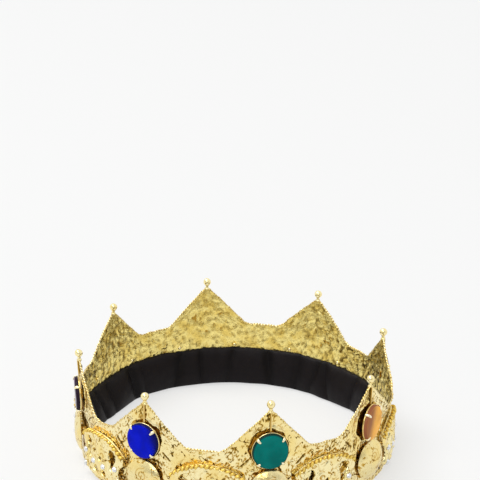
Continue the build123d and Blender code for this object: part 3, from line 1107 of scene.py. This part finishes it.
def trimmed(x, y, inside):
    """Faces of a net that lie on the metal, the net's points that they use, and where those points go."""
    slope_y, slope_x = np.gradient(inside, y[1, 0] - y[0, 0], x[0, 1] - x[0, 0])
    steep = np.maximum(slope_x ** 2 + slope_y ** 2, 0.25)
    pull = np.where(inside < 0, -inside, 0)
    px, py = x + pull * slope_x / steep, y + pull * slope_y / steep
    kept = [face for face in net(*x.shape) if max(inside.flat[corner] for corner in face) > 0.12 * MM]
    used = sorted({corner for face in kept for corner in face})
    number = {corner: k for k, corner in enumerate(used)}
    faces = [tuple(number[corner] for corner in face) for face in kept]
    return faces, used, px.ravel()[used], py.ravel()[used]


def ornament_trim(sizes, back):
    """Patches that are the same on every ornament: the rope on its arch, the fillet behind, and its posts."""
    patches = []
    line = ornament_outline(sizes)[1]
    for reach, thick, lobes, coat in ((back + 0.8 * MM, 1.1 * MM, 1, 1),
                                      (sizes.band_radius + 0.8 * MM, 0.7 * MM, 0, 2)):
        path = around(line[:, 0] / back, line[:, 1], reach)
        points, faces, hollow = cord(path, thick, 10, lobes=lobes, pitch=3.0 * MM, swell=0.36,
                                     uneven_by=0.9 * lobes)
        turn = np.arctan2(points[:, 0], -points[:, 1])
        points = np.stack([turn, points[:, 2], np.hypot(points[:, 0], points[:, 1])], -1)
        # Painted shade between the rope's lobes
        patches.append((points, faces, coat, 0.9 * hollow))
    stem, faces = turned([(1.5 * MM, -sizes.ornament_standoff - 0.3 * MM), (1.3 * MM, 0.3 * MM)], 16)
    for share, side in POST_PLACES:
        # Painted shade on the posts
        patches.append((on_plate(sizes, stem, share, side, back), faces, 0, 0.3))
    return patches


class CROWN_OT_ornaments(bpy.types.Operator):
    """Make the cast openwork ornaments with corded arches, curls and leaves"""

    bl_idname = "crown.ornaments"
    bl_label = "Ornaments"

    def execute(self, context):
        sizes, finish = context.scene.crown_sizes, context.scene.crown_finish
        warm = gilt_finish("gilt_cord", finish, finish.gilt_cord, finish.gilt_cord, rough=0.46)
        pale = gilt_finish("gilt_fillet", finish, rough=0.62, relief=0.6, scratched=0.8)
        gilt = gilt_finish("gilt_ornament", finish, rough=0.14, relief=0.2, scratched=0.6)
        step, margin = 0.42 * MM, MM
        half = sizes.ornament_half_width + margin
        columns = int(2 * half / step) + 1
        rows = int((sizes.ornament_top - sizes.ornament_base + 2 * margin) / step) + 1
        x, y = np.meshgrid(np.linspace(-half, half, columns),
                           np.linspace(sizes.ornament_base - margin, sizes.ornament_top + margin, rows))
        back = sizes.band_radius + sizes.ornament_standoff
        inside, raised = ornament_pattern(sizes, x, y)
        faces, used, across, up = trimmed(x, y, inside)
        turn = across / back
        trim = ornament_trim(sizes, back)
        for index in range(PEAKS):
            height = ornament_relief(sizes, x, y, inside, raised, index)
            # Painted shade in the cast face's low places, away from its edges
            dark = recess_shade(height, 0.8 * MM, 4) * (inside > 0.4 * MM)
            made = Patchwork()
            made.add(np.stack([turn, up, back + height.ravel()[used]], -1), faces, 0, dark.ravel()[used])
            # Painted shade on the plate's back
            made.add(np.stack([turn, up, np.full(len(used), back)], -1), flipped(faces), 0, 0.2)
            for patch in trim:
                made.add(*patch)
            made.piece(f"cast_ornament_{index + 1}", [gilt, warm, pale], "gilt_metal",
                       [f"ornament_{index + 1}"], place=after_peak(index))
        return {"FINISHED"}


def cut_stone(radius, height):
    """A small brilliant: a girdle, eight kite facets with their star facets, and a flat table."""
    points = [(0, 0, 0)]
    for reach, level, half in ((1.0, 0.0, 0), (1.0, 0.22, 0), (0.82, 0.6, 0.5), (0.56, 1.0, 0)):
        for k in range(8):
            a = math.radians(45 * (k + half))
            points.append((reach * radius * math.cos(a), reach * radius * math.sin(a), level * height))
    faces = []
    for k in range(8):
        after = (k + 1) % 8
        low, high = (1 + k, 1 + after), (9 + k, 9 + after)
        mid, table = 17 + k, (25 + k, 25 + after)
        faces += [(0, low[1], low[0]), (low[0], low[1], high[1], high[0]), (high[0], high[1], mid),
                  (mid, table[1], table[0]), (high[0], mid, table[0]), (high[1], table[1], mid)]
    faces.append(tuple(25 + k for k in range(8)))
    return np.array(points), faces


class CROWN_OT_stones(bpy.types.Operator):
    """Make the small cut stones on the ornaments"""

    bl_idname = "crown.stones"
    bl_label = "Small stones"

    def execute(self, context):
        sizes, finish = context.scene.crown_sizes, context.scene.crown_finish
        clear = stone_finish("cut_stone", finish.stone)
        face = sizes.band_radius + sizes.ornament_standoff + sizes.ornament_thickness
        stone, stone_faces = cut_stone(sizes.stone_radius, sizes.stone_height + 0.4 * MM)
        made = Patchwork()
        for share in STONE_PLACES:
            for side in (1, -1):
                made.add(on_plate(sizes, stone, share, side, face), stone_faces)
        for index in range(PEAKS):
            made.piece(f"cut_stones_{index + 1}", [clear], "clear_stone", [f"stones_{index + 1}"], flat=True,
                       place=after_peak(index))
        return {"FINISHED"}


# The head pad


def folds(turns, share):
    """How deep the satin's folds are, and how far it swells between them; the folds lean and fade."""
    draw = random.Random(7)
    deep, swell = np.zeros(turns.shape), np.zeros(turns.shape)
    places = [0.0]
    while places[-1] < 2 * math.pi - 0.2:
        places.append(places[-1] + draw.uniform(0.09, 0.30))
    leans = [draw.uniform(-0.09, 0.09) for _ in places]
    for index, place in enumerate(places):
        width, depth = draw.uniform(0.018, 0.05), draw.uniform(0.15, 0.9)
        top, foot = draw.uniform(0.3, 1.0), draw.uniform(0.3, 1.0)
        start = place + leans[index] * (share - 0.5)
        after = (index + 1) % len(places)
        end = places[after] + leans[after] * (share - 0.5) + (2 * math.pi if after == 0 else 0)
        apart = np.angle(np.exp(1j * (turns - start)))
        deep = np.maximum(deep, depth * (foot + (top - foot) * share) * hump(apart, 0, width))
        inside = np.mod(turns - start, 2 * math.pi) / (end - start)
        pillow = np.sqrt(np.clip(4 * inside * (1 - inside), 0, 1)) * draw.uniform(0.5, 1.0)
        swell = np.maximum(swell, np.where(inside <= 1, pillow, 0))
    return deep, swell


class CROWN_OT_pad(bpy.types.Operator):
    """Make the gathered satin head pad"""

    bl_idname = "crown.pad"
    bl_label = "Head pad"

    def execute(self, context):
        sizes, finish = context.scene.crown_sizes, context.scene.crown_finish
        satin = satin_finish("black_satin", finish.satin)
        low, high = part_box("head_pad")
        span = high.z - low.z
        columns, rows = 900, 44
        turns, share = np.meshgrid(circle(columns), np.linspace(0, 1, rows))
        spots = around(turns, share * span, sizes.pad_radius)
        deep, puff = folds(turns, share)
        ripple = 0.35 * waves(spots, 60, 50.0) + 0.12 * waves(spots, 200, 51.0)
        bulge = np.sin(math.pi * share) ** 0.42
        fullness = bulge * (sizes.pad_thickness + MM * (1.5 * ripple - 1.9 * deep + 2.0 * puff - 1.3))
        fullness = np.maximum(fullness, 0.2 * MM)
        fullness[[0, -1]] = 0
        left, right = hump(turns, *PAD_LEFT), hump(turns, *PAD_RIGHT)
        lean = PAD_LEAN + PAD_LEFT_LEAN * left + PAD_RIGHT_LEAN * right
        radius = sizes.pad_radius - fullness - lean * MM * (1 - share) ** 1.5
        sag = 0.9 * MM * waves(spots, 90, 60.0) * (share - 0.3)
        sag += MM * share ** 8 * (0.5 * waves(spots, 330, 61.0) - 0.3)
        sag -= MM * share * (0.5 + 2.2 * left)
        heights = np.maximum(low.z + share * span + sag - 0.35 * MM * deep * share, 0.1 * MM)
        made = Patchwork()
        inner = around(turns, heights, radius)
        # The folds' depth is painted as shade into the satin's colour
        made.add(inner, flipped(net(rows, columns, closed=True)), 0, np.clip(deep, 0, 1))
        rear = [inner[0]] + [around(turns[row], heights[row], sizes.pad_radius) for row in (0, -1)]
        made.add(np.concatenate(rear), net(3, columns, closed=True))
        pad = made.piece("satin_pad", [satin], "black_satin", ["head_pad"])
        return {"FINISHED"}


class CROWN_OT_tacks(bpy.types.Operator):
    """Make the small gilt tacks along the pad's top edge"""

    bl_idname = "crown.tacks"
    bl_label = "Tacks"

    def execute(self, context):
        sizes, finish = context.scene.crown_sizes, context.scene.crown_finish
        gilt = gilt_finish("gilt_tack", finish, rough=0.1, relief=0.05)
        r = sizes.tack_radius
        profile = [(r, 0.3 * MM), (r, 0)]
        profile += [(r * math.cos(a), -0.8 * r * math.sin(a)) for a in np.linspace(0.15, math.pi / 2, 8)]
        head, faces = turned(profile, 20)
        wall = sizes.band_radius - sizes.band_wall
        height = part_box("head_pad")[1].z + r + 0.1 * MM
        made = Patchwork()
        for index in range(2 * PEAKS):
            place = on_ring(wall - 0.1 * MM, height, (index + 0.5) * PEAK_STEP / 2)
            made.add(place(head), flipped(faces))
        made.piece("pad_tacks", [gilt], "gilt_metal")
        return {"FINISHED"}


# The stage


class CROWN_OT_stage(bpy.types.Operator):
    """Make the pale floor, the soft light and the camera"""

    bl_idname = "crown.stage"
    bl_label = "Stage"

    def execute(self, context):
        scene = context.scene
        scene.view_settings.view_transform = "Standard"
        self.make_floor(scene)
        self.make_world(scene)
        self.make_lamps(scene)
        self.make_camera(scene)
        return {"FINISHED"}

    def make_floor(self, scene):
        reach = 6.0
        mesh = bpy.data.meshes.new("floor")
        mesh.from_pydata([(-reach, -reach, 0), (reach, -reach, 0), (reach, reach, 0), (-reach, reach, 0)], [],
                         [(0, 1, 2, 3)])
        floor = bpy.data.objects.new("floor", mesh)
        scene.collection.objects.link(floor)
        made = bpy.data.materials.new("pale_floor")
        finish = Finish(made)
        speck = finish.grain(900, 2.0, 0.5)
        pale = tuple(scene.crown_finish.floor)
        tint = finish.blend(speck, pale, tuple(0.985 * part for part in pale))
        shown = (finish.ray("Camera") + finish.ray("Glossy") + finish.ray("Transmission")).clamp()
        glow = finish.blend(shown, (0, 0, 0), (1, 1, 1))
        finish.surface({"Base Color": tint, "Roughness": 0.8, "Specular IOR Level": 0.1,
                        "Emission Color": glow, "Emission Strength": 0.605})
        mesh.materials.append(made)

    def make_world(self, scene):
        """White all round for the camera; for light, bright above and behind, dimmer on the camera's side."""
        world = bpy.data.worlds.new("studio")
        scene.world = world
        finish = Finish(world)
        x, y, height = finish.parts(finish.node("ShaderNodeTexCoord", output="Generated"))
        turn, rise = math.radians(LENS_TURN), math.radians(LENS_RISE)
        toward = x * math.sin(turn) - y * math.cos(turn)
        room = toward.step(0.15, 0.8) * (1 - height.step(0.35, 0.85))
        light = 0.40 + 0.25 * height.step(0.25, 0.95)
        lens = (math.cos(rise) * toward + math.sin(rise) * height).step(0.88, 0.96)
        shine = 1 - 0.35 * room - 0.35 * lens
        seen, glossy, clear = finish.ray("Camera"), finish.ray("Glossy"), finish.ray("Transmission")
        plain = (1 - seen) * (1 - glossy) * (1 - clear)
        strength = seen + clear + glossy * shine + plain * light
        white = (0.955, 0.958, 0.955, 1)
        shade = finish.node("ShaderNodeBackground", {}, {"Color": white, "Strength": strength})
        finish.node("ShaderNodeOutputWorld", {}, {"Surface": shade})

    def make_lamps(self, scene):
        for name, place, size, power in LAMPS:
            lamp = bpy.data.lights.new(name, "AREA")
            lamp.size = size
            lamp.energy = power
            made = bpy.data.objects.new(name, lamp)
            made.location = place
            made.rotation_mode = "QUATERNION"
            made.rotation_quaternion = (Vector((0, 0, 0.03)) - Vector(place)).to_track_quat("-Z", "Y")
            scene.collection.objects.link(made)

    def make_camera(self, scene):
        """The photograph's view: the crown low in the picture, seen from above and a little to its left."""
        elevation, roll, azimuth = (math.radians(angle) for angle in CAMERA_ANGLES)
        low = math.atan2(CENTRE_PIXEL[1] - PICTURE_PIXELS / 2, FOCAL_PIXELS)
        left = math.atan2(CENTRE_PIXEL[0] - PICTURE_PIXELS / 2, FOCAL_PIXELS)
        pitch = elevation - low
        ahead = Vector((0, math.cos(pitch), -math.sin(pitch)))
        up = Vector((0, math.sin(pitch), math.cos(pitch)))
        right = Vector((1, 0, 0))
        aim = ahead * math.cos(-left) + right * math.sin(-left)
        right = right * math.cos(-left) - ahead * math.sin(-left)
        across = right * math.cos(roll) + up * math.sin(roll)
        upward = up * math.cos(roll) - right * math.sin(roll)
        turn = Matrix.Rotation(azimuth, 3, "Z")
        axes = Matrix((turn @ across, turn @ upward, turn @ -aim)).transposed()
        place = turn @ (Vector((0, -math.cos(elevation), math.sin(elevation))) * CAMERA_DISTANCE)
        camera = bpy.data.cameras.new("camera")
        camera.sensor_width = 36.0
        camera.lens = camera.sensor_width * FOCAL_PIXELS / PICTURE_PIXELS
        camera.clip_start, camera.clip_end = 0.05, 50.0
        made = bpy.data.objects.new("camera", camera)
        made.matrix_world = Matrix.Translation(place) @ axes.to_4x4()
        scene.collection.objects.link(made)
        scene.camera = made


# The panel


STEPS = (CROWN_OT_band, CROWN_OT_rim, CROWN_OT_finials, CROWN_OT_gems, CROWN_OT_settings, CROWN_OT_medallions,
         CROWN_OT_ornaments, CROWN_OT_stones, CROWN_OT_pad, CROWN_OT_tacks, CROWN_OT_stage)


class CROWN_PT_panel(bpy.types.Panel):
    """Lists the crown's pieces, sizes and colours"""

    bl_label = "Gilt costume crown"
    bl_idname = "CROWN_PT_panel"
    bl_space_type = "VIEW_3D"
    bl_region_type = "UI"
    bl_category = "Crown"

    def draw(self, context):
        for step in STEPS:
            self.layout.operator(step.bl_idname)
        for group in (context.scene.crown_sizes, context.scene.crown_finish):
            for name in group.bl_rna.properties.keys():
                if name not in ("rna_type", "name"):
                    self.layout.prop(group, name)


CLASSES = (CrownSizes, CrownFinish, *STEPS, CROWN_PT_panel)


def register():
    for made in CLASSES:
        bpy.utils.register_class(made)
    bpy.types.Scene.crown_sizes = bpy.props.PointerProperty(type=CrownSizes)
    bpy.types.Scene.crown_finish = bpy.props.PointerProperty(type=CrownFinish)


def unregister():
    del bpy.types.Scene.crown_finish
    del bpy.types.Scene.crown_sizes
    for made in reversed(CLASSES):
        bpy.utils.unregister_class(made)


def main():
    register()
    for step in STEPS:
        group, name = step.bl_idname.split(".")
        getattr(getattr(bpy.ops, group), name)()


if __name__ == "__main__":
    main()
